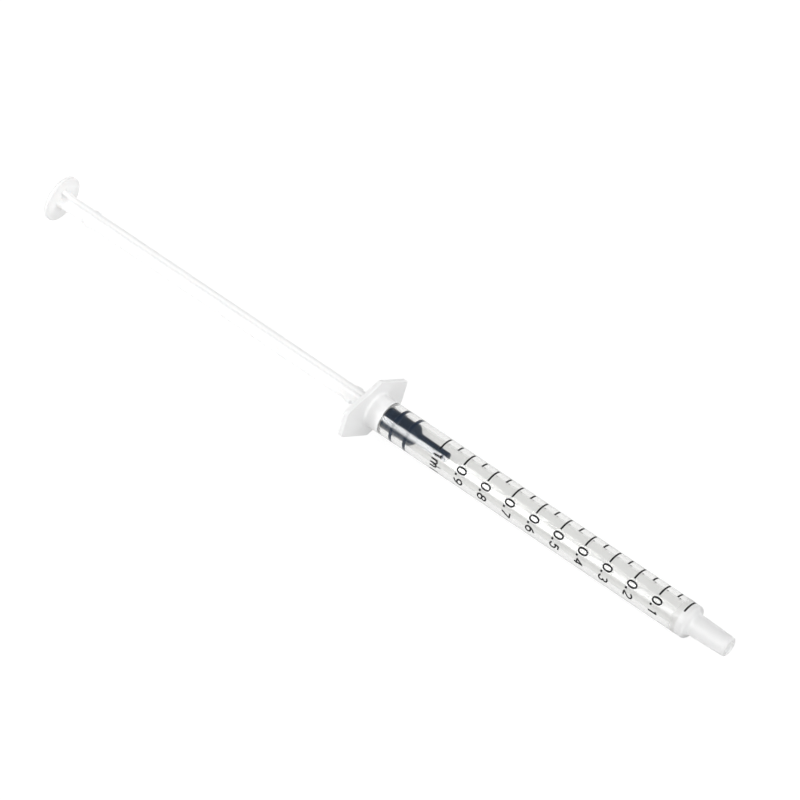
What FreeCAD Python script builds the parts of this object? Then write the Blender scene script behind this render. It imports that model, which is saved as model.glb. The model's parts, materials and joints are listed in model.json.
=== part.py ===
import FreeCAD, Part

import os
from math import atan, cos, degrees, pi, radians, sin, sqrt, tan

# A one-millilitre dispensing syringe: a clear barrel moulded in one piece with its finger
# flange and tapered nozzle, a rubber piston seal with a long nose, and a finned plunger rod.
# It is drawn along X, mouth of the barrel at X = 0 and nozzle toward +X, and is then laid on
# a table as it comes to rest: on one long side of its flange and on the front of its barrel.

# The measured volume and the length of scale that it fills give the bore
nominal_volume = 1000.0
scale_length = 57.0
bore_radius = sqrt(nominal_volume / scale_length / pi)

# Barrel
barrel_wall = 1.02
flange_thickness = 1.0
flange_to_full_mark = 16.7
shoulder_past_zero_mark = 1.85
shoulder_lean = 0.45
shoulder_round = 0.75
nozzle_root_round = 0.45
mouth_flare = 0.25
mouth_flare_depth = 0.45
stop_bead_height = 0.10
stop_bead_place = 1.8
stop_bead_half_length = 0.5
stop_bead_round = 0.8

# Finger flange, a long hexagon: two ends, and a corner in the middle of each long side
flange_length = 18.7
flange_width = 12.5
flange_end_width = 5.55
flange_corner_round = 1.0
flange_edge_round = 0.2
flange_root_round = 0.5

# Nozzle, outside a slip cone that narrows by six parts in a hundred on the diameter
nozzle_length = 8.0
nozzle_tip_radius = 1.975
nozzle_taper = 0.06
nozzle_tip_round = 0.55
outlet_edge_round = 0.15
seat_root_round = 0.13
nose_clearance = 0.13

# Piston seal: two lips on a waisted body, a cone, and a nose that empties the nozzle
lip_clearance = 0.03
lip_length = 0.70
lip_flank = 0.18
lip_spacing = 3.3
skirt_length = 2.40
skirt_clearance = 0.165
skirt_round = 0.35
waist_clearance = 0.225
cone_start_gap = 0.22
cone_lean = 0.857
nose_root_radius = 1.115
nose_end_radius = 0.985
nose_length = 6.97
nose_end_round = 0.15
nose_root_round = 0.2
seat_gap = 0.05

# Head of the plunger rod, snapped into the seal
socket_clearance = 0.05
neck_radius = 0.90
neck_length = 1.5
head_radius = 1.40
head_rim = 0.45
head_point_radius = 0.75
head_point_length = 0.9

# Plunger rod: four fins between a guide collar and the thumb disc
rod_length = 81.33
collar_radius = 1.95
collar_thickness = 0.8
collar_round = 0.15
fin_radius = 1.79
fin_thickness = 1.00
fin_corner_round = 0.30
fin_crest_round = 0.10
rod_turn = 5.0
flare_length = 2.0
flare_height = 0.30
nub_height = 0.28
nub_length = 1.0
nub_ramp = 0.35
front_nub_from_mouth = 4.15
rear_nub_from_disc = 7.5
disc_radius = 4.70
disc_thickness = 0.90
disc_front_round = 0.20
disc_back_round = 0.35

# How far ahead of the barrel's mouth the back of the seal stands, with the plunger drawn out
seal_back = 4.13

# An edge shorter than this is left out, because its ends are one point
smallest_edge = 1e-6

# Places along the barrel that follow from the sizes above
full_mark = flange_thickness + flange_to_full_mark
zero_mark = full_mark + scale_length
shoulder = zero_mark + shoulder_past_zero_mark
nozzle_end = shoulder + nozzle_length
barrel_radius = bore_radius + barrel_wall
nozzle_root_radius = nozzle_tip_radius + nozzle_taper / 2 * nozzle_length

# Places along the seal, from its back
lip_radius = bore_radius - lip_clearance
skirt_radius = bore_radius - skirt_clearance
waist_radius = bore_radius - waist_clearance
rear_lip = skirt_length + lip_flank + lip_length / 2
front_lip = rear_lip + lip_spacing
front_lip_edge = front_lip + lip_length / 2
cone_start = front_lip_edge + cone_start_gap
nose_root = cone_start + (waist_radius - nose_root_radius) * cone_lean
nose_end = nose_root + nose_length

# The seal's front lip stands at the zero mark when its cone comes home against the barrel's seat
seat_start = zero_mark + cone_start - front_lip_edge - (bore_radius - waist_radius) * cone_lean + seat_gap
nozzle_bore_radius = nose_root_radius + nose_clearance
seat_end = seat_start + (bore_radius - nozzle_bore_radius) * cone_lean

# Places along the rod, from the mouth of the barrel
collar_front = seal_back - socket_clearance
disc_front = collar_front - rod_length
plunger_travel = zero_mark - (seal_back + front_lip_edge)


def limited_reaches(corners, across):
    """How far each corner's rounding reaches along its two sides, never past what they leave free."""
    points = [across(along, away) for along, away, rounding in corners]
    count = len(points)
    reaches = []
    for index, (along, away, rounding) in enumerate(corners):
        before = points[index - 1] - points[index]
        after = points[(index + 1) % count] - points[index]
        reaches.append(rounding / tan(before.getAngle(after) / 2))
    for index in range(count):
        side = points[index].distanceToPoint(points[index - 1])
        wanted = reaches[index] + reaches[index - 1]
        if wanted > side:
            reaches[index] *= side / wanted
            reaches[index - 1] *= side / wanted
    return points, reaches


def rounded_wire(corners, across):
    """Closed wire through corners (along, away, rounding); across turns such a pair into a point."""
    points, reaches = limited_reaches(corners, across)
    edges = []
    tangents = []
    for index, (corner, reach) in enumerate(zip(points, reaches)):
        if reach == 0:
            tangents.append((corner, corner))
            continue
        before = points[index - 1] - corner
        after = points[(index + 1) % len(points)] - corner
        half_angle = before.getAngle(after) / 2
        start = corner + before.normalize() * reach
        end = corner + after.normalize() * reach
        radius = reach * tan(half_angle)
        towards_centre = (before + after).normalize()
        middle = corner + towards_centre * (radius / sin(half_angle) - radius)
        edges.append(Part.Arc(start, middle, end).toShape())
        tangents.append((start, end))
    for index, (start, end) in enumerate(tangents):
        last_end = tangents[index - 1][1]
        if last_end.distanceToPoint(start) > smallest_edge:
            edges.append(Part.makeLine(last_end, start))
    return Part.Wire(Part.__sortEdges__(edges))


def beside_axis(along, away):
    return FreeCAD.Vector(along, 0, away)


def across_axis(along, away):
    return FreeCAD.Vector(0, along, away)


def turned(corners):
    """Solid of revolution about X from corners (x, radius, rounding)."""
    face = Part.Face(rounded_wire(corners, beside_axis))
    return face.revolve(FreeCAD.Vector(0, 0, 0), FreeCAD.Vector(1, 0, 0), 360)


def carried_along(corners, start, length):
    """Prism along X from corners (y, z, rounding)."""
    face = Part.Face(rounded_wire(corners, across_axis))
    face.translate(FreeCAD.Vector(start, 0, 0))
    return face.extrude(FreeCAD.Vector(length, 0, 0))


def flange_side_slope():
    """Slope of a long side of the flange, from its middle corner to its end."""
    return atan((flange_width - flange_end_width) / flange_length)


def flange():
    """Hexagonal plate with rounded corners and edges, turned until one long side faces down."""
    half_length = flange_length / 2
    half_width = flange_width / 2
    half_end = flange_end_width / 2
    corners = [
        (half_length, half_end), (0, half_width), (-half_length, half_end),
        (-half_length, -half_end), (0, -half_width), (half_length, -half_end),
    ]
    rounded = [(y, z, flange_corner_round) for y, z in corners]
    plate = carried_along(rounded, 0, flange_thickness)
    rims = [edge for edge in plate.Edges if abs(edge.tangentAt(edge.FirstParameter).x) < 0.5]
    plate = plate.makeFillet(flange_edge_round, rims)
    plate.rotate(FreeCAD.Vector(0, 0, 0), FreeCAD.Vector(1, 0, 0), -degrees(flange_side_slope()))
    return plate


def barrel_tube():
    """Tube, shoulder and nozzle in one turned shape, open from the mouth to the outlet."""
    root_radius = barrel_radius + 2 * flange_root_round
    bead_start = stop_bead_place - stop_bead_half_length
    bead_end = stop_bead_place + stop_bead_half_length
    return turned([
        (0, bore_radius + mouth_flare, 0),
        (0, root_radius, 0),
        (flange_thickness, root_radius, 0),
        (flange_thickness, barrel_radius, flange_root_round),
        (shoulder - shoulder_lean, barrel_radius, shoulder_round),
        (shoulder, nozzle_root_radius, nozzle_root_round),
        (nozzle_end, nozzle_tip_radius, nozzle_tip_round),
        (nozzle_end, nozzle_bore_radius, outlet_edge_round),
        (seat_end, nozzle_bore_radius, seat_root_round),
        (seat_start, bore_radius, 0),
        (bead_end, bore_radius, 0),
        (stop_bead_place, bore_radius - stop_bead_height, stop_bead_round),
        (bead_start, bore_radius, 0),
        (mouth_flare_depth, bore_radius, 0),
    ])


def barrel():
    plate = flange().cut(Part.makeCylinder(
        barrel_radius, flange_thickness, FreeCAD.Vector(0, 0, 0), FreeCAD.Vector(1, 0, 0)))
    return plate.fuse(barrel_tube()).removeSplitter()


def piston_seal():
    """Rubber seal with its socket for the rod's head, drawn from its back and set in the barrel."""
    rear_start = rear_lip - lip_length / 2
    rear_end = rear_lip + lip_length / 2
    front_start = front_lip - lip_length / 2
    socket_neck = neck_radius + socket_clearance
    socket_head = head_radius + socket_clearance
    socket_back = neck_length - 2 * socket_clearance
    socket_rim = neck_length + head_rim
    socket_end = socket_rim + head_point_length
    shape = turned([
        (0, socket_neck, 0),
        (0, skirt_radius, skirt_round),
        (rear_start - lip_flank, skirt_radius, 0),
        (rear_start, lip_radius, 0),
        (rear_end, lip_radius, 0),
        (rear_end + lip_flank, waist_radius, 0),
        (front_start - lip_flank, waist_radius, 0),
        (front_start, lip_radius, 0),
        (front_lip_edge, lip_radius, 0),
        (cone_start, waist_radius, 0),
        (nose_root, nose_root_radius, nose_root_round),
        (nose_end, nose_end_radius, nose_end_round),
        (nose_end, 0, 0),
        (socket_end, 0, 0),
        (socket_end, head_point_radius + socket_clearance, 0),
        (socket_rim, socket_head, 0),
        (socket_back, socket_head, 0),
        (socket_back, socket_neck, 0),
    ])
    shape.translate(FreeCAD.Vector(seal_back, 0, 0))
    return shape


def rod_head():
    """Collar behind the seal, neck, and the barbed head that the seal snaps over."""
    head_back = collar_front + neck_length
    head_end = head_back + head_rim + head_point_length
    return turned([
        (collar_front - collar_thickness, 0, 0),
        (collar_front - collar_thickness, collar_radius, collar_round),
        (collar_front, collar_radius, collar_round),
        (collar_front, neck_radius, 0),
        (head_back, neck_radius, 0),
        (head_back, head_radius, 0),
        (head_back + head_rim, head_radius, 0),
        (head_end, head_point_radius, 0),
        (head_end, 0, 0),
    ])


def cross_prism(start, length, reach):
    """Four fins at right angles, rounded at their crests and where they meet."""
    half = fin_thickness / 2
    fin = [(reach, -half, fin_crest_round), (reach, half, fin_crest_round), (half, half, fin_corner_round)]
    corners = []
    for quarter in range(4):
        turn = radians(90 * quarter)
        for along, away, rounding in fin:
            y = along * cos(turn) - away * sin(turn)
            z = along * sin(turn) + away * cos(turn)
            corners.append((y, z, rounding))
    return carried_along(corners, start, length)


def rod_fins():
    """Fins trimmed to the rod's radius, widening in a curve where they meet the thumb disc."""
    middle_of_disc = disc_front - disc_thickness / 2
    middle_of_collar = collar_front - collar_thickness / 2
    widest = fin_radius + flare_height
    flare_middle = flare_length / 2
    flare_bend = flare_middle / tan(atan(flare_height / flare_middle) / 2)
    cross = cross_prism(middle_of_disc, middle_of_collar - middle_of_disc, widest + fin_crest_round)
    profile = turned([
        (middle_of_disc, 0, 0),
        (middle_of_disc, widest, 0),
        (disc_front, widest, 0),
        (disc_front + flare_middle, fin_radius, flare_bend),
        (middle_of_collar, fin_radius, 0),
        (middle_of_collar, 0, 0),
    ])
    return cross.common(profile)


def nub(place):
    """Low rises on the two level fins, with a ramp at each end."""
    crest = fin_radius + nub_height
    below = fin_radius - fin_crest_round - nub_height
    crest_start = place - nub_length / 2
    crest_end = place + nub_length / 2
    ramp_start = crest_start - nub_ramp
    ramp_end = crest_end + nub_ramp
    ring = turned([
        (ramp_start, below, 0),
        (crest_start, crest, nub_ramp / 2),
        (crest_end, crest, nub_ramp / 2),
        (ramp_end, below, 0),
    ])
    level_fins = Part.makeBox(
        ramp_end - ramp_start, 2 * crest, fin_thickness,
        FreeCAD.Vector(ramp_start, -crest, -fin_thickness / 2))
    return ring.common(level_fins)


def thumb_disc():
    return turned([
        (disc_front - disc_thickness, 0, 0),
        (disc_front - disc_thickness, disc_radius, disc_back_round),
        (disc_front, disc_radius, disc_front_round),
        (disc_front, 0, 0),
    ])


def plunger_rod():
    nubs = [nub(-front_nub_from_mouth), nub(disc_front + rear_nub_from_disc)]
    shape = rod_fins().fuse([rod_head(), thumb_disc()] + nubs).removeSplitter()
    shape.rotate(FreeCAD.Vector(0, 0, 0), FreeCAD.Vector(1, 0, 0), -rod_turn)
    return shape


def laid_down(shapes):
    """Tip the syringe nose down until flange and shoulder touch the table, centred on the origin."""
    side_height = flange_width / 2 * cos(flange_side_slope())
    shoulder_contact = shoulder - shoulder_lean - shoulder_round
    tilt = atan((side_height - barrel_radius) / (shoulder_contact - flange_thickness))
    tipped = []
    for shape in shapes:
        copy = shape.copy()
        copy.rotate(FreeCAD.Vector(0, 0, 0), FreeCAD.Vector(0, 1, 0), degrees(tilt))
        tipped.append(copy)
    box = Part.makeCompound(tipped).optimalBoundingBox(False)
    shift = FreeCAD.Vector(-(box.XMin + box.XMax) / 2, -(box.YMin + box.YMax) / 2, -box.ZMin)
    for shape in tipped:
        shape.translate(shift)
    return tipped, tilt, shift


def main():
    os.makedirs("parts", exist_ok=True)
    names = ["barrel", "piston_seal", "plunger_rod"]
    shapes, tilt, shift = laid_down([barrel(), piston_seal(), plunger_rod()])
    for name, shape in zip(names, shapes):
        solids = shape.Solids
        print(name, "solids", len(solids), "valid", shape.isValid(), "volume", round(shape.Volume, 2))
        solids[0].exportStep("parts/" + name + ".step")
    print("tilt", round(degrees(tilt), 3), "degrees; mouth of the barrel at", [round(v, 3) for v in shift])
    print("plunger travel to the zero mark", round(plunger_travel, 3))
    return shapes, tilt, shift


main()
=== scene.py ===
# %% [markdown]
# # A slim dispensing syringe, dressed for its picture
#
# The real object has three mouldings. A clear barrel carries a finger flange and a tapered nozzle,
# a dark rubber seal slides inside it, and a white finned rod pushes the seal. Black ink on the
# barrel gives the volume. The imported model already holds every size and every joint, so this
# lesson only gives the pieces smooth skins and true finishes. Each new skin is worked out with
# numpy in the same frame and then rides on the body that it belongs to.

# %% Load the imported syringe
import json

import bpy
import numpy as np
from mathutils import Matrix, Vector


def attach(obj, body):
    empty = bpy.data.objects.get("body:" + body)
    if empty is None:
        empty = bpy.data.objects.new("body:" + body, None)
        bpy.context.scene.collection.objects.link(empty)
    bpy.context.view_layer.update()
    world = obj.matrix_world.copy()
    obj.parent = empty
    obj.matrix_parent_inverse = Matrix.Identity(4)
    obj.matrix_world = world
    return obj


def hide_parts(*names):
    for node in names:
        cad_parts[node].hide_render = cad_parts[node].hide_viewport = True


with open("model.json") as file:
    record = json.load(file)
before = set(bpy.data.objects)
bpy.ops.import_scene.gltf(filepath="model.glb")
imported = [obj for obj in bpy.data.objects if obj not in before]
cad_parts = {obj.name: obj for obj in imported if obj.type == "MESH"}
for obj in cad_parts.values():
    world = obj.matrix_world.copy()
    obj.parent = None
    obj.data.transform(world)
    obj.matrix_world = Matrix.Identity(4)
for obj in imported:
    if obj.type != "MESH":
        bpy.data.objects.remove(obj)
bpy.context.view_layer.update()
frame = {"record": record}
mounts = {mount["name"]: mount for mount in frame["record"]["mounts"]}

# %% [markdown]
# ## Where the syringe lies
#
# The syringe rests on its flange and on the front of its barrel, so its axis leans a little
# toward the nozzle. All shapes below are written in millimetres along that axis, with zero at the
# barrel's mouth, and one function turns them into metres in the frame. Reading the axis from the
# record means that the skins follow the model if it is ever laid down in another way.

# %% The syringe's own axis
millimetre = 0.001
thumb_face_x = -78.15

along = np.array(mounts["nozzle"]["axis"], float)
sideways = np.array([0.0, 1.0, 0.0])
upward = np.cross(along, sideways)
mouth = np.array(mounts["thumb_face"]["pos_m"]) - thumb_face_x * millimetre * along


def placed(x, radius, angle):
    """Points in the frame from a place along the axis, a radius and an angle about the axis.

    Each point is the mouth, plus x along the axis, plus the radius in the direction that lies
    the angle away from straight up, toward +Y.
    """
    x, radius, angle = (values[..., None] for values in np.broadcast_arrays(x, radius, angle))
    direction = np.cos(angle) * upward + np.sin(angle) * sideways
    return mouth + millimetre * (x * along + radius * direction)


print("mouth of the barrel, in metres", mouth.round(6), "axis", along.round(5))

# %% [markdown]
# ## From an outline to a skin
#
# Turned parts are best drawn as a lathe worker draws them: an outline of corners, each with its
# own rounding, carried round the axis. A rounding is an arc that touches both sides of its
# corner. Smooth shading blends normals from face to face, so a point is also set close to each
# end of every straight side, which keeps the blend inside the rounding and the flats flat.

# %% Rounded outlines
arc_step = np.radians(15)
guard_distance = 0.05
shortest_side = 3 * guard_distance
ring_distance = 2.0


def rounded(corners, closed=False):
    """Points along an outline of corners (x, radius, rounding), as an array of (x, radius).

    A rounding r at a corner whose sides meet at the inside angle a reaches r / tan(a / 2) along
    each side. Its centre lies on the line that halves the angle, r / sin(a / 2) from the corner.
    """
    corner = np.array([c[:2] for c in corners], float)
    stretches = []
    for index, (here, (*_, rounding)) in enumerate(zip(corner, corners)):
        before = corner[index - 1] - here
        after = corner[(index + 1) % len(corner)] - here
        at_end = not closed and index in (0, len(corner) - 1)
        if rounding == 0 or at_end:
            stretches.append(here[None])
            continue
        before /= np.hypot(*before)
        after /= np.hypot(*after)
        inside = np.arccos(np.clip(before @ after, -1, 1))
        start = here + before * rounding / np.tan(inside / 2)
        halving = (before + after) / np.hypot(*(before + after))
        centre = here + halving * rounding / np.sin(inside / 2)
        turn = np.pi - inside
        share = np.linspace(0, 1, int(np.ceil(turn / arc_step)) + 1)
        side = np.sign(before[0] * after[1] - before[1] * after[0])
        angle = -side * turn * share
        arm = start - centre
        arc = np.stack([
            centre[0] + arm[0] * np.cos(angle) - arm[1] * np.sin(angle),
            centre[1] + arm[0] * np.sin(angle) + arm[1] * np.cos(angle),
        ], axis=1)
        stretches.append(arc)
    return guarded(stretches, closed)


def guarded(stretches, closed):
    """The stretches joined by straight sides, with a point near both ends of each side."""
    points = []
    for index, stretch in enumerate(stretches):
        points.append(stretch)
        if index == len(stretches) - 1 and not closed:
            break
        start = stretch[-1]
        end = stretches[(index + 1) % len(stretches)][0]
        length = np.hypot(*(end - start))
        if length > shortest_side:
            near = guard_distance / length
            steps = int(length / ring_distance) + 2
            share = np.linspace(near, 1 - near, steps)[:, None]
            points.append(start + (end - start) * share)
    return np.concatenate(points)


# %% [markdown]
# A skin is a grid of points: one ring for each point of the outline and one column for each
# angle. Quads join neighbouring rings. An outline that starts and ends on the axis is closed with
# one point at each end, and a closed outline, such as a tube's wall, joins its last ring to its
# first. The sign of the enclosed volume says whether the faces look outward, so no guess is left.

# %% From a grid of rings to a mesh
def ring_quads(rings, spokes, closed):
    """Corner numbers of the quads that join each ring to the next, and each column to the next."""
    row = np.arange(rings if closed else rings - 1)[:, None]
    column = np.arange(spokes)[None, :]
    next_row = (row + 1) % rings
    next_column = (column + 1) % spokes
    corners = [row * spokes + column, row * spokes + next_column,
               next_row * spokes + next_column, next_row * spokes + column]
    return np.stack(corners, axis=-1).reshape(-1, 4)


def enclosed_volume(points, faces):
    """Sum over fan triangles of a . (b x c) / 6, positive where the faces look outward."""
    centred = points - points.mean(axis=0)
    total = 0.0
    for second in range(1, faces.shape[1] - 1):
        a, b, c = centred[faces[:, 0]], centred[faces[:, second]], centred[faces[:, second + 1]]
        total += np.einsum("ij,ij->", a, np.cross(b, c)) / 6
    return total


def mesh_object(name, points, face_groups):
    """A smooth-shaded object in the frame from points and arrays of face corners."""
    if sum(enclosed_volume(points, faces) for faces in face_groups) < 0:
        face_groups = [faces[:, ::-1] for faces in face_groups]
    faces = [face for group in face_groups for face in group.tolist()]
    mesh = bpy.data.meshes.new(name)
    mesh.from_pydata(points.tolist(), [], faces)
    mesh.polygons.foreach_set("use_smooth", np.ones(len(faces), bool))
    mesh.update()
    piece = bpy.data.objects.new(name, mesh)
    bpy.context.scene.collection.objects.link(piece)
    size = (points.max(axis=0) - points.min(axis=0)) / millimetre
    print(name, "has", len(faces), "faces and is", size.round(2), "mm large")
    return piece


def turned_skin(name, x, radius, angle, closed=False, edge=None):
    """Skin through rings at x with the given radii, shaped (rings, angles).

    A mask of painted shade of the same shape, if there is one, goes to the mesh as the attribute edge.
    """
    rings, spokes = radius.shape
    points = placed(x, radius, angle)
    if closed:
        return mesh_object(name, points.reshape(-1, 3), [ring_quads(rings, spokes, True)])
    inner = points[1:-1].reshape(-1, 3)
    poles = points[[0, -1], 0]
    column = np.arange(spokes)
    beside = (column + 1) % spokes
    last_row = (rings - 3) * spokes
    first_pole = np.full(spokes, len(inner))
    start_fan = np.stack([first_pole, beside, column], axis=1)
    end_fan = np.stack([first_pole + 1, last_row + column, last_row + beside], axis=1)
    quads = ring_quads(rings - 2, spokes, False)
    piece = mesh_object(name, np.concatenate([inner, poles]), [quads, start_fan, end_fan])
    if edge is not None:
        values = np.concatenate([edge[1:-1].ravel(), edge[[0, -1], 0]]).astype(np.float32)
        piece.data.attributes.new("edge", "FLOAT", "POINT").data.foreach_set("value", values)
    return piece


# %% [markdown]
# ## The clear barrel
#
# The barrel, its finger flange and its nozzle are one moulding, so they are one skin here too.
# The wall's outline is closed: out along the bore, round the nozzle's end and back along the
# outside. The flange is a long hexagon, which a lathe can't turn, but it can be made on the same
# grid. The outline is drawn with a round flange, and each ring that lies on the flange is then
# stretched, angle by angle, until its rim follows the hexagon.

# %% Sizes of the barrel
barrel_radius = mounts["barrel_outside"]["dims"]["r_mm"]
outlet_radius = mounts["outlet"]["dims"]["r_mm"]
barrel_wall = 1.02
bore_radius = barrel_radius - barrel_wall
mouth_flare = 0.25
mouth_flare_depth = 0.45
stop_bead_height = 0.10
stop_bead_place = 1.8
stop_bead_half_length = 0.5
stop_bead_round = 0.8
seat_start = 74.777
cone_lean = 0.857
seat_end = seat_start + (bore_radius - outlet_radius) * cone_lean
shoulder = 76.55
shoulder_lean = 0.45
nozzle_length = 8.0
nozzle_end = shoulder + nozzle_length
nozzle_tip_radius = 1.975
nozzle_taper = 0.06
nozzle_root_radius = nozzle_tip_radius + nozzle_taper / 2 * nozzle_length
small_round = 0.06
seat_round = 0.13
outlet_round = 0.15
nozzle_rim_round = 0.5
nozzle_foot_round = 0.45
shoulder_round = 0.75

milky_to = 4.35
clear_bore_from = 0.5
cloudy_from = 74.4

flange_thickness = 1.0
flange_length = 18.7
flange_width = 12.5
flange_end_width = 5.55
flange_corner_round = 1.0
flange_edge_round = 0.2
flange_root_round = 0.5
round_flange_radius = 6.0
barrel_columns = 360
samples_per_side = 40
sampled_directions = 4001
print("bore", round(2 * bore_radius, 2), "mm; nozzle from", shoulder, "to", nozzle_end, "mm")


# %% The hexagon's reach in every direction
def flange_reach(angle):
    """Distance from the axis to the hexagon's rounded rim at each angle from straight up.

    The hexagon is turned so that one of its long sides faces the table. Its rim is sampled,
    changed into angle and distance, and read off between the samples.
    """
    half_length, half_width, half_end = flange_length / 2, flange_width / 2, flange_end_width / 2
    corners = [(half_length, half_end), (0, half_width), (-half_length, half_end),
               (-half_length, -half_end), (0, -half_width), (half_length, -half_end)]
    rim = rounded([(y, z, flange_corner_round) for y, z in corners], closed=True)
    slope = np.arctan((flange_width - flange_end_width) / flange_length)
    y = rim[:, 0] * np.cos(slope) + rim[:, 1] * np.sin(slope)
    z = rim[:, 1] * np.cos(slope) - rim[:, 0] * np.sin(slope)
    outline = np.concatenate([np.stack([y, z], axis=1), [[y[0], z[0]]]])
    share = np.linspace(0, 1, samples_per_side)[None, :, None]
    fine = (outline[:-1, None] * (1 - share) + outline[1:, None] * share).reshape(-1, 2)
    return np.interp(angle, np.arctan2(*fine.T), np.hypot(*fine.T), period=2 * np.pi)


def spread_angles(count):
    """Angles that are even round the tube and closer together where the hexagon reaches out.

    The share of the columns that a direction gets grows with the mean of one and its reach.
    """
    fine = np.linspace(0, 2 * np.pi, sampled_directions)
    weight = 1 + flange_reach(fine) / barrel_radius
    reached = np.concatenate([[0], np.cumsum((weight[1:] + weight[:-1]) / 2)])
    return np.interp(np.arange(count) / count, reached / reached[-1], fine)


# %% The barrel's skin
def barrel_outline():
    """Closed outline of the wall in (x, radius), with a round flange in the hexagon's place.

    The corners without rounding at milky_to and cloudy_from only put a ring where a finish ends.
    """
    bead_start = stop_bead_place - stop_bead_half_length
    bead_end = stop_bead_place + stop_bead_half_length
    return rounded([
        (0, bore_radius + mouth_flare, small_round),
        (mouth_flare_depth, bore_radius, small_round),
        (bead_start, bore_radius, stop_bead_round),
        (stop_bead_place, bore_radius - stop_bead_height, stop_bead_round),
        (bead_end, bore_radius, stop_bead_round),
        (milky_to, bore_radius, 0),
        (cloudy_from, bore_radius, 0),
        (seat_start, bore_radius, small_round),
        (seat_end, outlet_radius, seat_round),
        (nozzle_end, outlet_radius, outlet_round),
        (nozzle_end, nozzle_tip_radius, nozzle_rim_round),
        (shoulder, nozzle_root_radius, nozzle_foot_round),
        (shoulder - shoulder_lean, barrel_radius, shoulder_round),
        (cloudy_from, barrel_radius, 0),
        (milky_to, barrel_radius, 0),
        (flange_thickness, barrel_radius, flange_root_round),
        (flange_thickness, round_flange_radius, flange_edge_round),
        (0, round_flange_radius, flange_edge_round),
    ], closed=True)


def clear_barrel():
    """The turned wall, with the flange's rings stretched out to the hexagon.

    A ring's stretch is the hexagon's reach less the round flange's, times a share that grows
    from none at the flange's root to all at its rim.
    """
    angle = spread_angles(barrel_columns)
    outline = barrel_outline()
    x, radius = outline[:, :1], outline[:, 1:]
    root = barrel_radius + flange_root_round
    rim_start = round_flange_radius - flange_edge_round - guard_distance
    on_flange = (x <= flange_thickness) & (radius > root)
    share = np.where(on_flange, np.clip((radius - root) / (rim_start - root), 0, 1), 0)
    stretched = radius + share * (flange_reach(angle) - round_flange_radius)
    return turned_skin("clear_barrel", x, stretched, angle, closed=True)


barrel = clear_barrel()
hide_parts("barrel")

# %% [markdown]
# ## The rubber seal
#
# The seal is one dark rubber moulding: a skirt, two lips that press on the bore, a short cone and
# a long nose that empties the nozzle. Where the lips press on the wall there is no air, and light
# then goes straight from the clear wall into the rubber. That is why a real seal's lips look as
# wide as the barrel itself. To get the same effect the lips reach a hundredth of a millimetre
# into the wall, and everything else on the seal stays clear of it.

# %% Sizes of the seal
seal_back = 4.13
lip_press = 0.01
lip_reach = bore_radius + lip_press
lip_length = 0.70
lip_flank = 0.18
lip_spacing = 3.3
skirt_length = 2.40
skirt_gap = 0.165
skirt_radius = bore_radius - skirt_gap
waist_gap = 0.225
waist_radius = bore_radius - waist_gap
cone_start_gap = 0.22
nose_root_radius = 1.115
nose_end_radius = 0.985
nose_length = 6.97
socket_clearance = 0.05
lip_round = 0.07
cone_round = 0.15
nose_root_round = 0.25
nose_tip_round = 0.15
skirt_round = 0.35
seal_columns = 160

collar_front = seal_back - socket_clearance
neck_radius = 0.90
neck_length = 1.5
head_radius = 1.40
head_rim = 0.45
head_point_radius = 0.75
head_point_length = 0.9


# %% The barbed head, and the socket that takes it
def barb(start, back, rim, clearance=0.0):
    """Corners of the rod's neck and barbed head, to the middle of its tip.

    The socket in the seal has the same corners, each further from the axis by a clearance.
    """
    tip = rim + head_point_length
    corners = [(start, neck_radius), (back, neck_radius), (back, head_radius), (rim, head_radius),
               (tip, head_point_radius)]
    return [(x, radius + clearance, small_round) for x, radius in corners] + [(tip, 0, 0)]


# %% The seal's skin
def rubber_seal():
    """Turned skin from the nose's tip over both lips to the back, and in through the socket."""
    rear_lip = skirt_length + lip_flank
    front_lip = rear_lip + lip_spacing
    front_edge = front_lip + lip_length
    cone_start = front_edge + cone_start_gap
    nose_root = cone_start + (waist_radius - nose_root_radius) * cone_lean
    nose_end = nose_root + nose_length
    socket_back = neck_length - 2 * socket_clearance
    outline = rounded([
        (nose_end, 0, 0),
        (nose_end, nose_end_radius, nose_tip_round),
        (nose_root, nose_root_radius, nose_root_round),
        (cone_start, waist_radius, cone_round),
        (front_edge, lip_reach, lip_round),
        (front_lip, lip_reach, lip_round),
        (front_lip - lip_flank, waist_radius, lip_round),
        (rear_lip + lip_length + lip_flank, waist_radius, lip_round),
        (rear_lip + lip_length, lip_reach, lip_round),
        (rear_lip, lip_reach, lip_round),
        (rear_lip - lip_flank, skirt_radius, lip_round),
        (0, skirt_radius, skirt_round),
        *barb(0, socket_back, neck_length + head_rim, socket_clearance),
    ])
    angle = np.linspace(0, 2 * np.pi, seal_columns, endpoint=False)
    radius = np.repeat(outline[:, 1:], len(angle), axis=1)
    return turned_skin("rubber_seal", seal_back + outline[:, :1], radius, angle)


seal = rubber_seal()
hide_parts("piston_seal")

# %% [markdown]
# ## The finned rod
#
# The white rod is one long moulding too: a thumb disc, four fins that widen where they meet it,
# two pairs of low nubs, a round collar and the barbed head that the seal snaps over. A cross
# section of four fins can be drawn as one distance for every angle, so the rod also fits on a
# grid of rings. Each ring says how high its fins' crests stand and how far it has changed from a
# cross into a circle, and the disc, the collar and the head are simply rings that are all circle.

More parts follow.
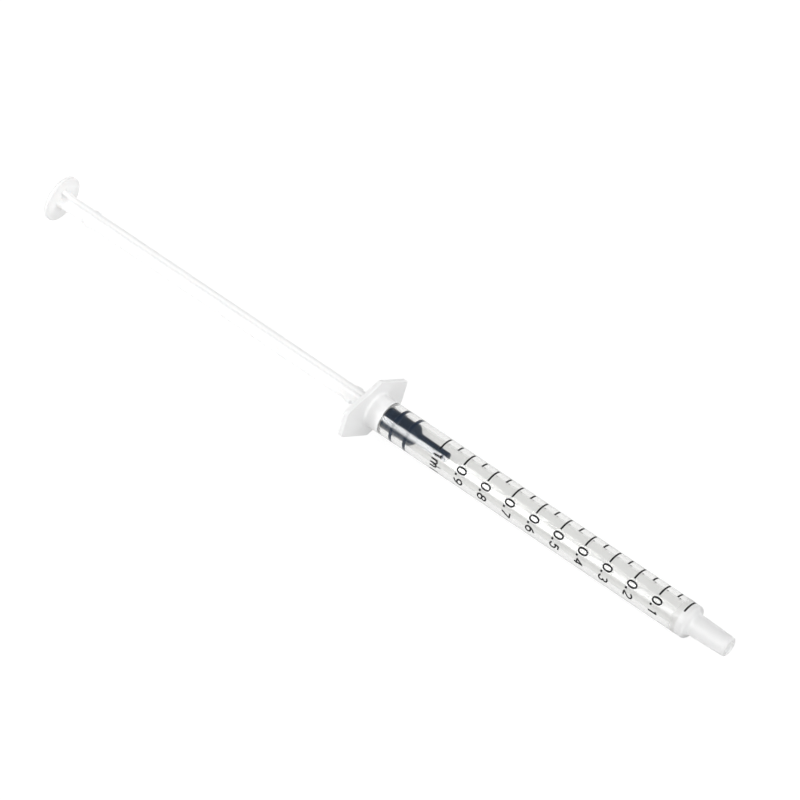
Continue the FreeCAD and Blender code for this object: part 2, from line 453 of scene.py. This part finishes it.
# %% Sizes of the rod
collar_radius = 1.95
collar_length = 0.8
collar_back = collar_front - collar_length
collar_back_round = 0.1
collar_front_round = 0.15
fin_radius = 1.79
fin_half_thickness = 0.50
fin_corner_round = 0.30
crest_sharpness = 26
rod_turn = np.radians(5)
disc_to_collar = 81.33
disc_front = collar_front - disc_to_collar
disc_back = thumb_face_x
disc_radius = 4.70
disc_back_round = 0.35
disc_front_round = 0.2
disc_face_from = fin_radius + 1.0
flare_length = 2.0
flare_height = 0.30
nub_height = 0.28
nub_half_length = 0.5
nub_ramp = 0.35
front_nubs_x = -4.15
rear_nubs_from_disc = 7.5
nub_places = (front_nubs_x, disc_front + rear_nubs_from_disc)
# how far the painted edge shade spreads from the crests' edges and from the disc's rims
painted_crest_shade_reach = 0.16
painted_rim_shade_reach = 0.25

# %% How closely the rod's rings and columns stand
even_step = 3.0
edge_spread = 6
corner_column = 31.0
flare_rings = 14
first_flare_share = 0.06
nub_rings = 23
nub_rings_reach = 1.1
plain_from_nub = 1.3
plain_from_collar = 0.5
last_fin_ring = 0.08
disc_join = (0.10, 0.03)
collar_join = 0.1


# %% One section through the fins
def from_nearest_fin(angle):
    """Angle between a direction and the middle of the nearest of the four fins."""
    return np.abs((angle + np.pi / 4) % (np.pi / 2) - np.pi / 4)


def cross_section(angle, crest):
    """Distance from the axis to the surface of four fins at each angle, for crests of that radius.

    A fin's flank is a straight line, half its thickness from the middle: half / sin(angle). The
    corner between two fins is an arc of radius g about the point where both coordinates are
    half + g. Crest and flank are joined with a soft minimum, (crest^-p + flank^-p)^(-1/p).
    """
    folded = from_nearest_fin(angle)
    flank = fin_half_thickness / np.maximum(np.sin(folded), 1e-6)
    middle = fin_half_thickness + fin_corner_round
    toward = middle * (np.cos(folded) + np.sin(folded))
    corner_arc = toward - np.sqrt(np.maximum(toward**2 - 2 * middle**2 + fin_corner_round**2, 0))
    in_corner = folded > np.arctan(fin_half_thickness / middle)
    side = np.where(in_corner, corner_arc, flank)
    return (crest**-crest_sharpness + side**-crest_sharpness) ** (-1 / crest_sharpness)


def section_angles():
    """Angles round the rod: even ones, closer ones at the crests' edges, one where a corner starts."""
    edge = np.degrees(np.arcsin(fin_half_thickness / fin_radius))
    near_edge = edge + np.arange(-edge_spread, edge_spread + 1)
    quarter = np.unique(np.concatenate([np.arange(0, 45, even_step), near_edge, [corner_column]]))
    mirrored = np.unique(np.round(np.concatenate([-quarter, quarter]), 3))
    turned = np.concatenate([mirrored + 90 * k for k in range(4)] + [[45, 135, 225, 315]])
    return np.radians(np.unique(turned.round(3) % 360))


# %% Rings of the rod
def fin_stretch():
    """Rings (x, crest) of the fins: the curve into the disc and the nubs, which lift two crests."""
    flare = disc_front + flare_length * np.linspace(first_flare_share, 1, flare_rings)
    around_nub = np.linspace(-nub_rings_reach, nub_rings_reach, nub_rings)
    nubs = [place + around_nub for place in nub_places]
    plain_start = disc_front + flare_length + ring_distance
    plain = np.arange(plain_start, collar_back - plain_from_collar, ring_distance)
    clear_of_nubs = np.all([np.abs(plain - place) > plain_from_nub for place in nub_places], axis=0)
    last_ring = [collar_back - last_fin_ring]
    x = np.sort(np.concatenate([flare, *nubs, plain[clear_of_nubs], last_ring]))
    left = np.clip((disc_front + flare_length - x) / flare_length, 0, 1)
    return x, fin_radius + flare_height * left**2


def nub_lift(x):
    """Height of the nubs along the rod: flat crests with a smooth ramp at each end."""
    distance = np.min([np.abs(x - place) for place in nub_places], axis=0)
    ramp = np.clip((nub_half_length + nub_ramp - distance) / nub_ramp, 0, 1)
    return nub_height * ramp**2 * (3 - 2 * ramp)


def disc_rings():
    """Rings (x, radius) of the thumb disc, from its middle round the rim to its front face."""
    return rounded([
        (disc_back, 0, 0),
        (disc_back, disc_radius, disc_back_round),
        (disc_front, disc_radius, disc_front_round),
        (disc_front, disc_face_from, 0),
    ])


def head_rings():
    """Rings (x, radius) of the collar and the barbed head, up to the middle of its tip."""
    head_back = collar_front + neck_length
    return rounded([
        (collar_back, collar_radius - collar_back_round, 0),
        (collar_back, collar_radius, collar_back_round),
        (collar_front, collar_radius, collar_front_round),
        *barb(collar_front, head_back, head_back + head_rim),
    ])


def painted_edge_shade_mask(x, circle, share, angle):
    """One on the upright fins' crest edges and on the disc's two rims, shaped (rings, angles).

    This paints shade: the edges are greyed where the lit plastic shows thin dark lines, and only the
    upright fins' edges get it. It falls off as exp(-(d / reach)^2). On a crest, d is the distance
    round the axis from the crest's edge. On the disc it is the distance in x and radius from the rim.
    """
    folded = from_nearest_fin(angle)
    from_crest_edge = (folded - np.arcsin(fin_half_thickness / fin_radius)) * fin_radius
    upright = np.abs(np.cos(angle)) < np.cos(np.pi / 4)
    on_fins = (1 - share[:, None]) * upright * np.exp(-(from_crest_edge[None] / painted_crest_shade_reach) ** 2)
    rims = [np.hypot(x - rim, circle - disc_radius) for rim in (disc_back, disc_front)]
    on_disc = share * (x <= disc_front) * np.exp(-(np.min(rims, axis=0) / painted_rim_shade_reach) ** 2)
    return np.clip(on_fins + on_disc[:, None], 0, 1)


# %% The rod's skin
def white_rod():
    """All rings in order: disc, fins, collar and head.

    A ring's surface is the share that is circle times its radius, plus the rest times the cross.
    Two rings on the disc's face and one on the collar's are part cross and part circle, which
    leaves a small hollow round where the fins run into those faces.
    """
    disc, head = disc_rings(), head_rings()
    fin_x, fin_crest = fin_stretch()
    widest = fin_radius + flare_height
    joins = len(disc_join)
    x = np.concatenate([disc[:, 0], [disc_front] * joins, fin_x, [collar_back], head[:, 0]])
    circle = np.concatenate([disc[:, 1], [disc_radius] * joins, fin_crest, [collar_radius], head[:, 1]])
    crest = np.concatenate([[widest] * (len(disc) + joins), fin_crest, [fin_radius] * (len(head) + 1)])
    share = np.concatenate([np.ones(len(disc)), disc_join, np.zeros(len(fin_x)),
                            [collar_join], np.ones(len(head))])
    angle = section_angles()
    level_fins = np.abs(np.cos(angle)) > np.cos(np.pi / 4)
    lifted = crest[:, None] + nub_lift(x)[:, None] * level_fins
    cross = cross_section(angle, lifted)
    radius = share[:, None] * circle[:, None] + (1 - share[:, None]) * cross
    # painted shade along the upright fins' crest edges and the disc's rims
    edge = painted_edge_shade_mask(x, circle, share, angle)
    return turned_skin("white_rod", x[:, None], radius, angle + np.pi / 2 + rod_turn, edge=edge)


rod = white_rod()
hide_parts("plunger_rod")

# %% [markdown]
# ## The printed scale
#
# The scale is black ink, rolled onto the outside of the barrel as it turned under a stamp. Lines
# go round the barrel every twentieth of a millilitre, and each tenth has a longer line and a
# number. Ink has almost no thickness, but a mesh does need some, so every stroke is a thin closed
# ribbon that follows its path on the barrel's surface. Drawing the numbers as strokes of one
# width, as a stamp maker's lettering does, keeps them generic and as sharp as the lines.

# %% Sizes of the print
ink_lift = 0.002
ink_thickness = 0.012
line_width = 0.37
letter_width = 0.34
point_size = 0.44
full_mark = 17.7
zero_mark = 74.7
marks = 20
long_line = np.radians([-20, 41])
short_line = np.radians([10, 41])
print_lean = np.radians(0.09)
digit_height = 1.88
digit_width = 1.08
number_shift = 0.30
first_digit_angle = np.radians(-38.8)
point_angle = np.radians(-57.7)
last_digit_angle = np.radians(-78.0)
unit_m_angle = np.radians(-69.8)
unit_l_angle = np.radians(-102.7)
arch_width = 0.78
point_drop = 0.08
points_per_run = 8
degrees_per_point = 7
print("one division is", (zero_mark - full_mark) / marks, "mm")


# %% Strokes on flat paper
def line(*corners):
    """Points along straight runs through corners (u, v), u to the right and v up."""
    corners = np.array(corners, float)
    share = np.linspace(0, 1, points_per_run + 1)[:-1, None]
    runs = [start + (end - start) * share for start, end in zip(corners[:-1], corners[1:])]
    return np.concatenate(runs + [corners[-1:]])


def arc(centre, radii, start, end, squareness=2.0):
    """Points on a stretch of a rounded oval, |u/a|^n + |v/b|^n = 1, between two angles in degrees."""
    angle = np.radians(np.linspace(start, end, int(abs(end - start) / degrees_per_point) + 2))
    cosine, sine = np.cos(angle), np.sin(angle)
    u = radii[0] * np.sign(cosine) * np.abs(cosine) ** (2 / squareness)
    v = radii[1] * np.sign(sine) * np.abs(sine) ** (2 / squareness)
    return np.stack([centre[0] + u, centre[1] + v], axis=1)


def joined(*stretches):
    """Several stretches as one stroke, in order."""
    return np.concatenate(stretches)


# %% The numerals and the unit's letters
def numeral_strokes():
    """Strokes of each sign in a box that is digit_width wide and digit_height high.

    The numbers are shares of that box. A six is a nine turned half round, (w, h) less each point.
    """
    w, h = digit_width, digit_height
    nine_bowl = arc((0.5 * w, 0.71 * h), (0.5 * w, 0.29 * h), 0, 360)
    nine_tail = arc((0.0, 0.71 * h), (w, 0.71 * h), 0, -78)
    x_height = 0.78 * h
    return {
        "0": [arc((0.5 * w, 0.5 * h), (0.5 * w, 0.5 * h), 0, 360, 2.3)],
        "1": [line((0.62 * w, 0), (0.62 * w, h), (0.28 * w, 0.80 * h))],
        "2": [joined(arc((0.5 * w, 0.71 * h), (0.47 * w, 0.29 * h), 165, -35),
                     line((0, 0), (w, 0)))],
        "3": [joined(arc((0.47 * w, 0.76 * h), (0.43 * w, 0.24 * h), 150, -85),
                     arc((0.47 * w, 0.265 * h), (0.5 * w, 0.265 * h), 85, -155))],
        "4": [line((0.72 * w, 0), (0.72 * w, h), (0, 0.27 * h), (w, 0.27 * h))],
        "5": [joined(line((0.9 * w, h), (0.18 * w, h), (0.1 * w, 0.53 * h)),
                     arc((0.46 * w, 0.33 * h), (0.5 * w, 0.33 * h), 125, -150))],
        "6": [np.array([w, h]) - nine_bowl, np.array([w, h]) - nine_tail],
        "7": [line((0, h), (w, h), (0.3 * w, 0))],
        "8": [arc((0.5 * w, 0.76 * h), (0.42 * w, 0.24 * h), 0, 360),
              arc((0.5 * w, 0.265 * h), (0.5 * w, 0.265 * h), 0, 360)],
        "9": [nine_bowl, nine_tail],
        "m": [line((0, 0), (0, x_height))] + [
            joined(arc((u + arch_width / 2, 0.62 * x_height), (arch_width / 2, 0.38 * x_height), 180, 0),
                   line((u + arch_width, 0.5 * x_height), (u + arch_width, 0)))
            for u in (0, arch_width)],
        "l": [joined(line((0, h), (0, 0.15 * h)),
                     arc((0.22 * w, 0.15 * h), (0.22 * w, 0.15 * h), 180, 270))],
    }


# %% [markdown]
# A ribbon's section is a flat rectangle with four corners: two on the surface of the barrel and
# two just above it. The section is carried along the stroke, square to its direction, and both
# ends are closed. On paper the stroke is flat. Its sideways distance, divided by the barrel's
# radius, becomes an angle about the axis, which wraps it round the barrel without any stretch.

# %% From strokes to ink on the barrel
def ribbon(path, width):
    """Corner points of a ribbon along a path on flat paper, shaped (points, 4, 2).

    Two corners lie half the width to the left of each point of the path and two to the right,
    square to the path's direction. A path that ends where it starts has one direction there.
    """
    path = np.asarray(path, float)
    ends_meet = np.allclose(path[0], path[-1])
    run = np.gradient(path, axis=0)
    if ends_meet:
        run[0] = run[-1] = path[1] - path[-2]
    run /= np.hypot(run[:, 0], run[:, 1])[:, None]
    square = np.stack([-run[:, 1], run[:, 0]], axis=1)
    left, right = path + square * width / 2, path - square * width / 2
    return np.stack([left, right, right, left], axis=1)


def wrapped(corners, x_start, angle_start):
    """Flat (u, v) corners on the barrel: v runs toward the nozzle, u runs round toward the viewer.

    The real barrel leant a little on the stamp, so each place is turned by its distance from the
    middle of the scale.
    """
    lift = np.array([ink_thickness, ink_thickness, 0, 0]) + ink_lift
    lean = print_lean * (x_start - (full_mark + zero_mark) / 2)
    angle = angle_start + lean - corners[..., 0] / barrel_radius
    return placed(x_start + corners[..., 1], barrel_radius + lift, angle)


def ink_mesh(name, ribbons):
    """One mesh from many ribbons in the frame, each shaped (points, 4, 3)."""
    points, quads, start = [], [], 0
    for corners in ribbons:
        around = ring_quads(len(corners), 4, False)
        first_end = np.array([[0, 1, 2, 3]])
        far_end = 4 * len(corners) - 1 - first_end
        quads.append(np.concatenate([around, first_end, far_end]) + start)
        points.append(corners.reshape(-1, 3))
        start += 4 * len(corners)
    print(len(ribbons), "strokes of ink")
    return mesh_object(name, np.concatenate(points), [np.concatenate(quads)])


def scale_lines():
    """The lines that go round the barrel, long at every tenth and short between."""
    ribbons = []
    for mark in range(marks + 1):
        x = full_mark + (zero_mark - full_mark) * mark / marks
        first, last = long_line if mark % 2 == 0 else short_line
        middle = line((-last * barrel_radius, 0), (-first * barrel_radius, 0))
        ribbons.append(wrapped(ribbon(middle, line_width), x, 0.0))
    return ribbons


def lettering():
    """The numbers 0.9 to 0.1 and the full mark's 1 ml, each read with its top toward the nozzle."""
    signs = numeral_strokes()
    pitch = (zero_mark - full_mark) / (marks / 2)
    ribbons = []

    def write(sign, middle_angle, width, x):
        """Add one sign's strokes, with the middle of its width at the angle."""
        start = middle_angle + width / 2 / barrel_radius
        ribbons.extend(wrapped(ribbon(stroke, letter_width), x, start) for stroke in signs[sign])

    for tenth in range(10):
        x = full_mark + pitch * tenth + number_shift - digit_height / 2
        if tenth == 0:
            write("1", first_digit_angle, digit_width, x)
            write("m", unit_m_angle, 2 * arch_width, x)
            write("l", unit_l_angle, 0, x)
            continue
        write("0", first_digit_angle, digit_width, x)
        write(str(10 - tenth), last_digit_angle, digit_width, x)
        dot = line((0, -point_drop), (0, point_size - point_drop))
        ribbons.append(wrapped(ribbon(dot, point_size), x, point_angle))
    return ribbons


scale = ink_mesh("printed_scale", scale_lines() + lettering())

# %% [markdown]
# ## Each skin rides on its body
#
# The barrel and its ink stay together, the seal slides, and the rod slides with the seal and can
# also turn in it.

# %% Bodies
for piece, body, finish in ((barrel, "barrel", "clear_barrel"), (scale, "barrel", None),
                            (seal, "piston_seal", "seal_rubber"), (rod, "plunger_rod", "white_plastic")):
    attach(piece, body)

# %% [markdown]
# ## Finishes
#
# All three mouldings carry the faint unevenness of a polished steel mould. It is the same effect
# with different values, so it is a node group, built once: soft noise, drawn out along the
# syringe, that gives a height for the bump and a change for the roughness. The shader itself
# stays in each material.

# %% A group for the mould's surface
mould_detail = 3.0
mould_depth = 0.00002
drawn_out = 0.3
noise_low = 0.35
noise_high = 0.65


def set_inputs(node, values):
    """Give sockets of the node their plain values, by name."""
    for name, value in values.items():
        node.inputs[name].default_value = value


def connect(tree, *links):
    """Link outputs to inputs, each given as a node, its output, a node and its input."""
    for source, output, target, socket in links:
        tree.links.new(source.outputs[output], target.inputs[socket])


def mould_surface_group():
    """Group that puts out a height and a mask: noise of a scale in waves per metre, drawn along X."""
    group = bpy.data.node_groups.new("mould_surface", "ShaderNodeTree")
    for name, way in (("Scale", "INPUT"), ("Detail", "INPUT"), ("Height", "OUTPUT"), ("Mask", "OUTPUT")):
        group.interface.new_socket(name, in_out=way, socket_type="NodeSocketFloat")
    inputs = group.nodes.new("NodeGroupInput")
    outputs = group.nodes.new("NodeGroupOutput")
    place = group.nodes.new("ShaderNodeTexCoord")
    draw = group.nodes.new("ShaderNodeMapping")
    set_inputs(draw, {"Scale": (drawn_out, 1.0, 1.0)})
    noise = group.nodes.new("ShaderNodeTexNoise")
    contrast = group.nodes.new("ShaderNodeMapRange")
    set_inputs(contrast, {"From Min": noise_low, "From Max": noise_high})
    connect(group, (place, "Object", draw, "Vector"), (draw, "Vector", noise, "Vector"),
            (inputs, "Scale", noise, "Scale"), (inputs, "Detail", noise, "Detail"),
            (noise, "Fac", outputs, "Height"), (noise, "Fac", contrast, "Value"),
            (contrast, "Result", outputs, "Mask"))
    return group


mould_surface = mould_surface_group()


def new_material(name, piece):
    """A material with nodes on the piece, and its node tree and Principled shader."""
    material = bpy.data.materials.new(name)
    material.use_nodes = True
    piece.data.materials.append(material)
    print(name, "is a finish of", piece.name)
    return material.node_tree, material.node_tree.nodes["Principled BSDF"]


def add_mould_surface(tree, shader, scale, bump, rough_low, rough_high):
    """Place the group in a material: its height feeds a bump and its mask the roughness."""
    group = tree.nodes.new("ShaderNodeGroup")
    group.node_tree = mould_surface
    set_inputs(group, {"Scale": scale, "Detail": mould_detail})
    height = tree.nodes.new("ShaderNodeBump")
    set_inputs(height, {"Strength": bump, "Distance": mould_depth})
    rough = tree.nodes.new("ShaderNodeMapRange")
    set_inputs(rough, {"To Min": rough_low, "To Max": rough_high})
    connect(tree, (group, "Height", height, "Height"), (group, "Mask", rough, "Value"),
            (height, "Normal", shader, "Normal"), (rough, "Result", shader, "Roughness"))
    return rough


# %% [markdown]
# A few helpers keep the next cells short. They place the nodes for one sum, one smooth step or one
# set of coordinates, and take plain numbers and other nodes' outputs alike.

# %% Sums and steps in a node tree
def feed(tree, socket, value):
    """Give the socket a plain number, or link it to an output."""
    if isinstance(value, float):
        socket.default_value = value
    else:
        tree.links.new(value, socket)


def calculated(tree, operation, first, second=0.0):
    """Output of one operation on two numbers or outputs."""
    node = tree.nodes.new("ShaderNodeMath")
    node.operation = operation
    feed(tree, node.inputs[0], first)
    feed(tree, node.inputs[1], second)
    return node.outputs["Value"]


def stepped(tree, value, start, end, low, high):
    """Output that goes smoothly from low to high as the value goes from start to end."""
    node = tree.nodes.new("ShaderNodeMapRange")
    node.interpolation_type = "SMOOTHSTEP"
    set_inputs(node, {"From Min": start, "From Max": end, "To Min": low, "To Max": high})
    tree.links.new(value, node.inputs["Value"])
    return node.outputs["Result"]


def coordinates(tree, kind):
    """Outputs X, Y and Z of one kind of coordinates."""
    place = tree.nodes.new("ShaderNodeTexCoord")
    parts = tree.nodes.new("ShaderNodeSeparateXYZ")
    connect(tree, (place, kind, parts, "Vector"))
    return parts.outputs


# %% [markdown]
# The barrel is natural polypropylene. It is clear along the tube, where both sides of the wall
# were polished, cloudy in the nozzle, where the steel was left plain, and milky in the flange and
# the mouth, which cooled slowest. So the skin has three finishes of one plastic. Toward the nozzle
# the clear one grows rougher with its place along the syringe, which softens the change.

# %% Natural polypropylene, clear, cloudy and milky
clear_tint = (0.876, 0.876, 0.868, 1)
clouded_tint = (0.965, 0.965, 0.965, 1)
rougher_from = 72.0
rougher = 0.22
natural_scale = 400.0
natural_bump = 0.04


def polypropylene(name, tint, transmission, rough_low, rough_high):
    """One finish of the barrel's plastic, as a material: its node tree, shader and roughness node."""
    tree, shader = new_material(name, barrel)
    set_inputs(shader, {"Base Color": tint, "IOR": 1.49, "Transmission Weight": transmission})
    rough = add_mould_surface(tree, shader, natural_scale, natural_bump, rough_low, rough_high)
    return tree, shader, rough


def rougher_toward_nozzle(tree, shader, gloss):
    """Add to the roughness up to the cloudy stretch, by the place along the frame's X."""
    start, end = (float(placed(x, 0, 0)[0]) for x in (rougher_from, cloudy_from))
    near = stepped(tree, coordinates(tree, "Object")["X"], start, end, 0.0, rougher)
    both = calculated(tree, "ADD", near, gloss.outputs["Result"])
    tree.links.new(both, shader.inputs["Roughness"])


def finish_barrel():
    """The milky finish on the flange and the mouth, the cloudy one on the nozzle, clear between."""
    clear = polypropylene("clear_polypropylene", clear_tint,
                          transmission=1.0, rough_low=0.10, rough_high=0.15)
    rougher_toward_nozzle(*clear)
    for name, transmission in (("milky_polypropylene", 0.27), ("cloudy_polypropylene", 0.54)):
        polypropylene(name, clouded_tint, transmission, rough_low=0.36, rough_high=0.44)
    centre = np.empty(3 * len(barrel.data.polygons))
    barrel.data.polygons.foreach_get("center", centre)
    arm = centre.reshape(-1, 3) - mouth
    x = arm @ along
    radius = np.linalg.norm(arm - x[:, None] * along, axis=1) / millimetre
    x /= millimetre
    outside = radius > bore_radius + barrel_wall / 2
    milky = (x < milky_to) & (outside | (x < clear_bore_from))
    finish = np.select([milky, x > cloudy_from], [1, 2], 0).astype(np.int32)
    barrel.data.polygons.foreach_set("material_index", finish)
    print("clear, milky and cloudy faces", np.bincount(finish))


finish_barrel()


# %% [markdown]
# The seal's rubber is a very dark blue, half dull, with a finer and stronger unevenness than the
# plastic, because rubber copies every mark of its mould. A plain black would look like a hole
# through the clear wall, so the colour keeps its blue and the shader a little gloss.

# %% Dark rubber
rubber_blue = (0.012, 0.031, 0.068, 1)

tree, shader = new_material("dark_rubber", seal)
set_inputs(shader, {"Base Color": rubber_blue, "IOR": 1.5, "Specular IOR Level": 0.25})
add_mould_surface(tree, shader, scale=900.0, bump=0.3, rough_low=0.30, rough_high=0.45)

# %% [markdown]
# The rod is white polypropylene with a little titanium white in it, so light goes in a short way
# and comes out again. The upright fins' crest edges and the disc's rims are painted a shade greyer
# than the flats, as painted shade for the thin dark lines that light draws along those edges. The
# skin's edge attribute says where, so the grey follows the moulding.

# %% White moulded plastic
rod_white = (0.870, 0.870, 0.868, 1)
# grey of the painted shade along the rod's edges
painted_edge_shade_grey = (0.715, 0.715, 0.717, 1)

tree, shader = new_material("white_plastic", rod)
set_inputs(shader, {"IOR": 1.5, "Subsurface Weight": 0.3,
                    "Subsurface Radius": (1.0, 0.9, 0.85), "Subsurface Scale": 0.0012})
add_mould_surface(tree, shader, scale=300.0, bump=0.2, rough_low=0.32, rough_high=0.42)
# the edge attribute mixes in the painted edge shade
edge = tree.nodes.new("ShaderNodeAttribute")
edge.attribute_name = "edge"
mix = tree.nodes.new("ShaderNodeMix")
mix.data_type = "RGBA"
set_inputs(mix, {"A": rod_white, "B": painted_edge_shade_grey})
connect(tree, (edge, "Fac", mix, "Factor"), (mix, "Result", shader, "Base Color"))

# %% [markdown]
# The ink is black and nearly dull, with a grain finer than the plastic's. The strokes are real
# meshes, so their sharpness doesn't depend on a picture, and the finish can stay this simple.

# %% Black ink
ink_black = (0.010, 0.010, 0.011, 1)

tree, shader = new_material("black_ink", scale)
set_inputs(shader, {"Base Color": ink_black, "Specular IOR Level": 0.15})
add_mould_surface(tree, shader, scale=3000.0, bump=0.1, rough_low=0.6, rough_high=0.8)

# %% [markdown]
# ## Floor, lights and camera
#
# The picture is a white studio sheet with no visible edge. Camera rays, reflections and rays
# through the clear wall see the sheet as white, and a small share of ordinary white keeps the
# object's faint shadow. All other rays meet a plain pale floor, which throws light back up.

# %% The white sheet
sheet_size = 8.0
sheet_pale = (0.70, 0.70, 0.70, 1)
sheet_shade = (0.16, 0.16, 0.16, 1)
sheet_glow = 0.88

bpy.ops.mesh.primitive_plane_add(size=sheet_size, location=(0, 0, 0))
floor = bpy.context.object
floor.name = "white_sheet"
tree, shader = new_material("white_sheet", floor)
set_inputs(shader, {"Base Color": sheet_pale, "Roughness": 1.0, "Specular IOR Level": 0.0})
glow = tree.nodes.new("ShaderNodeEmission")
shaded = tree.nodes.new("ShaderNodeBsdfDiffuse")
seen = tree.nodes.new("ShaderNodeAddShader")
mix = tree.nodes.new("ShaderNodeMixShader")
set_inputs(glow, {"Strength": sheet_glow})
set_inputs(shaded, {"Color": sheet_shade})
rays = tree.nodes.new("ShaderNodeLightPath").outputs
seeing = calculated(tree, "MAXIMUM", rays["Is Camera Ray"], rays["Is Glossy Ray"])
seeing = calculated(tree, "MAXIMUM", seeing, rays["Is Transmission Ray"])
tree.links.new(seeing, mix.inputs["Fac"])
connect(tree, (glow, "Emission", seen, 0), (shaded, "BSDF", seen, 1),
        (shader, "BSDF", mix, 1), (seen, "Shader", mix, 2),
        (mix, "Shader", tree.nodes["Material Output"], "Surface"))

# %% [markdown]
# The light is a tent round the syringe. A mirror-like tube shows the tent as lines along its
# length: each line comes from one height above the horizon, seen round the tube's axis. So the
# tent is written by that height. It is dark at the viewer's horizon, bright in a window at the
# viewer's side, which makes the white stripe, and dim over the top, which lets the dark seal
# stay dark. Low at the back it is bright again. The tent's end beyond the nozzle lights the flange
# and the thumb disc, more from above than from the side. The camera sees plain white all round,
# and so does a ray that has passed the clear wall close to the horizon. Higher up such a ray sees
# the tent, because a reflection at the bore leaves the wall on the same path.

# %% The studio's light, with heights in degrees and X as the direction's part along the syringe
horizon_end, side_start, side_level = 2, 14, 0.36
side_end, top_start, top_level = 60, 80, 0.2
back_start, back_end, back_level = 135, 165, 0.9
window_level = 15.5
window_low, window_low_soft = 12, 18
window_high, window_high_soft = 60, 8
window_x_start, window_x_full, window_x_far = -0.47, -0.42, -0.36
window_x_dim, window_dim_share, window_x_end = -0.31, 0.20, -0.1
nozzle_end_start, nozzle_end_full = -0.18, 0.22
nozzle_end_low, nozzle_end_high = 0.98, 1.72
from_above_start, from_above_full = 0.1, 0.75
disc_end_start, disc_end_full, disc_end_level = -0.65, -0.90, 0.60
white_to, white_end = 0.25, 0.45


def mixed(tree, share, first, second):
    """Output that goes from the first value to the second as the share goes from 0 to 1."""
    mix = tree.nodes.new("ShaderNodeMix")
    for name, value in (("Factor", share), ("A", first), ("B", second)):
        feed(tree, mix.inputs[name], value)
    return mix.outputs["Result"]


def tent_level(tree):
    """Outputs with the tent's level in each direction, as it lights and as clear plastic shows it.

    The level comes from the height round the long axis and from X. Through clear plastic the
    tent looks white near the horizon, as it does to the camera.
    """
    direction = coordinates(tree, "Generated")
    x, z = direction["X"], direction["Z"]
    toward_viewer = calculated(tree, "MULTIPLY", direction["Y"], -1.0)
    height = calculated(tree, "DEGREES", calculated(tree, "ARCTAN2", z, toward_viewer))
    side = stepped(tree, height, horizon_end, side_start, 0.0, side_level)
    top = stepped(tree, height, side_end, top_start, side_level, top_level)
    back = stepped(tree, height, back_start, back_end, 0.0, back_level)
    around = calculated(tree, "MAXIMUM", calculated(tree, "MINIMUM", side, top), back)
    window = stepped(tree, height, window_low, window_low + window_low_soft, 0.0, window_level)
    for value, start, end, low, high in (
            (height, window_high - window_high_soft, window_high, 1.0, 0.0),
            (x, window_x_start, window_x_full, 0.0, 1.0),
            (x, window_x_far, window_x_dim, 1.0, window_dim_share),
            (x, window_x_dim, window_x_end, 1.0, 0.0)):
        window = calculated(tree, "MULTIPLY", window, stepped(tree, value, start, end, low, high))
    level = calculated(tree, "ADD", around, window)
    toward_nozzle = stepped(tree, x, nozzle_end_start, nozzle_end_full, 0.0, 1.0)
    beyond_nozzle = stepped(tree, z, from_above_start, from_above_full, nozzle_end_low, nozzle_end_high)
    level = mixed(tree, toward_nozzle, level, beyond_nozzle)
    toward_disc = stepped(tree, x, disc_end_start, disc_end_full, 0.0, 1.0)
    level = mixed(tree, toward_disc, level, disc_end_level)
    at_horizon = stepped(tree, z, white_to, white_end, 1.0, 0.0)
    return level, calculated(tree, "MAXIMUM", level, at_horizon)


def studio_world():
    """World that lights with the tent, and looks white to the camera and round the horizon."""
    world = bpy.data.worlds.new("studio")
    bpy.context.scene.world = world
    world.use_nodes = True
    tree = world.node_tree
    shader = tree.nodes["Background"]
    rays = tree.nodes.new("ShaderNodeLightPath").outputs
    strength, through_plastic = tent_level(tree)
    strength = mixed(tree, rays["Is Transmission Ray"], strength, through_plastic)
    strength = mixed(tree, rays["Is Camera Ray"], strength, 1.0)
    set_inputs(shader, {"Color": (1, 1, 1, 1)})
    tree.links.new(strength, shader.inputs["Strength"])
    print("the tent is worked out by", len(tree.nodes), "nodes")


studio_world()

# %% [markdown]
# The camera stands a metre away with a long lens, to the right of the syringe's middle and about
# fifty degrees above the table. Those numbers are the ones at which the scale's lines, the flange,
# the disc and the nozzle all fall where the photograph has them.

# %% The camera
view_azimuth = np.radians(40.10)
view_elevation = np.radians(49.72)
view_distance = 983.0 * millimetre
aim_along_axis = 7.16
aim_right = -0.06 * millimetre
aim_raise = 4.855 * millimetre
focal_length_mm = 238.65
sensor_width_mm = 36
nearest_seen = 10 * millimetre

camera = bpy.data.objects.new("camera", bpy.data.cameras.new("camera"))
bpy.context.scene.collection.objects.link(camera)
back = Vector((np.sin(view_azimuth) * np.cos(view_elevation),
               -np.cos(view_azimuth) * np.cos(view_elevation), np.sin(view_elevation)))
right = Vector((np.cos(view_azimuth), np.sin(view_azimuth), 0))
aim = Vector(placed(aim_along_axis, 0, 0)) + right * aim_right + back.cross(right) * aim_raise
camera.location = aim + back * view_distance
camera.rotation_mode = "QUATERNION"
camera.rotation_quaternion = (-back).to_track_quat("-Z", "Y")
camera.data.lens = focal_length_mm
camera.data.sensor_width = sensor_width_mm
camera.data.clip_start = nearest_seen
bpy.context.scene.camera = camera
print("camera at", [round(place, 3) for place in camera.location], "metres")
bpy.context.scene.view_settings.view_transform = "Standard"
